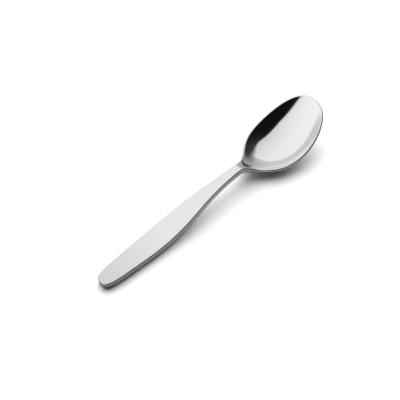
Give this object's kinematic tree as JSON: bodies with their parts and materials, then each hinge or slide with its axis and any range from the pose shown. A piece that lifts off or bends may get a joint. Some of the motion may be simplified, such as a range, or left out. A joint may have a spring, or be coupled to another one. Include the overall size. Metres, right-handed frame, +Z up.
{
  "type": "coffee spoon",
  "caption": "Small stamped metal spoon with an egg-shaped bowl, a narrow raised neck and a flat handle that widens towards a square end.",
  "frame": {"origin": "on the table, under the middle of the spoon's length and width, at the bottom of its bounding box", "axes": "+X along the spoon from the handle's end to the tip of the bowl, +Y across it, +Z up out of the hollow of the bowl"},
  "size_m": [0.13, 0.0304, 0.0145],
  "materials": {
    "steel": "mirror-polished stainless steel with fine wear scratches"
  },
  "bodies": {
    "root": {"spoon": "steel"}
  },
  "joints": []
}
